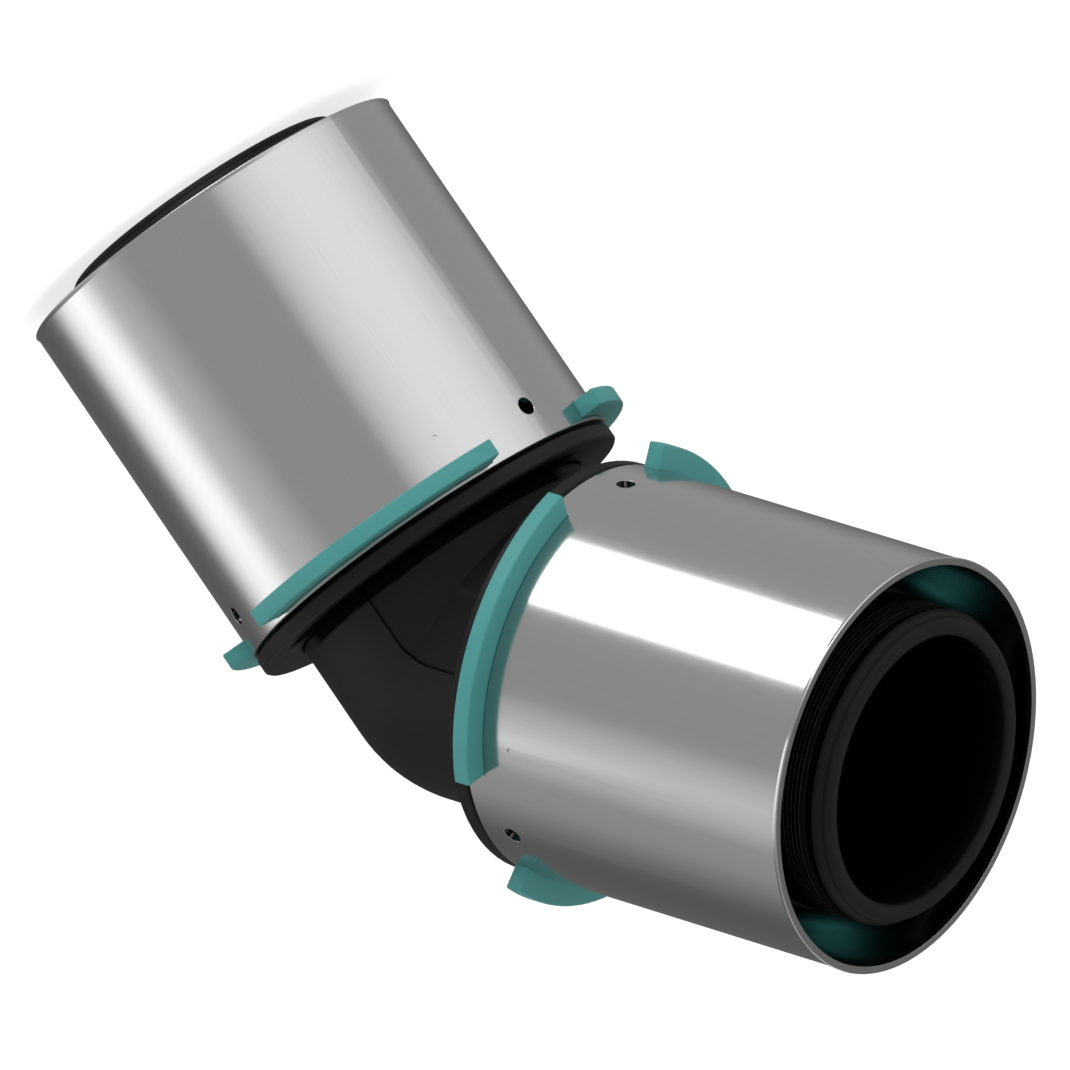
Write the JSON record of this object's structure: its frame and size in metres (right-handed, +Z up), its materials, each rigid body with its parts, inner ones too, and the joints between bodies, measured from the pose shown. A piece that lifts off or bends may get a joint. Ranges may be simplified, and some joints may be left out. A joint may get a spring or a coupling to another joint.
{
  "type": "press elbow",
  "caption": "45 degree press elbow for multilayer pipe: moulded body, barbed spigots with O-rings, steel press sleeves and stop rings whose lugs stand out through the sleeves.",
  "frame": {"origin": "on socket A's axis, in the plane of spigot A's end face, which the elbow stands on", "axes": "+Z up along socket A's axis, into the fitting; +X towards socket B, which leaves at 45 degrees between +Z and +X; +Y square to the plane of the bend"},
  "size_m": [0.117, 0.074, 0.1633],
  "materials": {
    "body_plastic": "satin",
    "sleeve_steel": "satin",
    "ring_plastic": "matte",
    "seal_rubber": "matte"
  },
  "bodies": {
    "root": {"elbow_body": "body_plastic", "press_sleeve_a": "sleeve_steel", "press_sleeve_b": "sleeve_steel", "stop_ring_a": "ring_plastic", "stop_ring_b": "ring_plastic", "o_ring_a_outer": "seal_rubber", "o_ring_a_inner": "seal_rubber", "o_ring_b_outer": "seal_rubber", "o_ring_b_inner": "seal_rubber"}
  },
  "joints": []
}
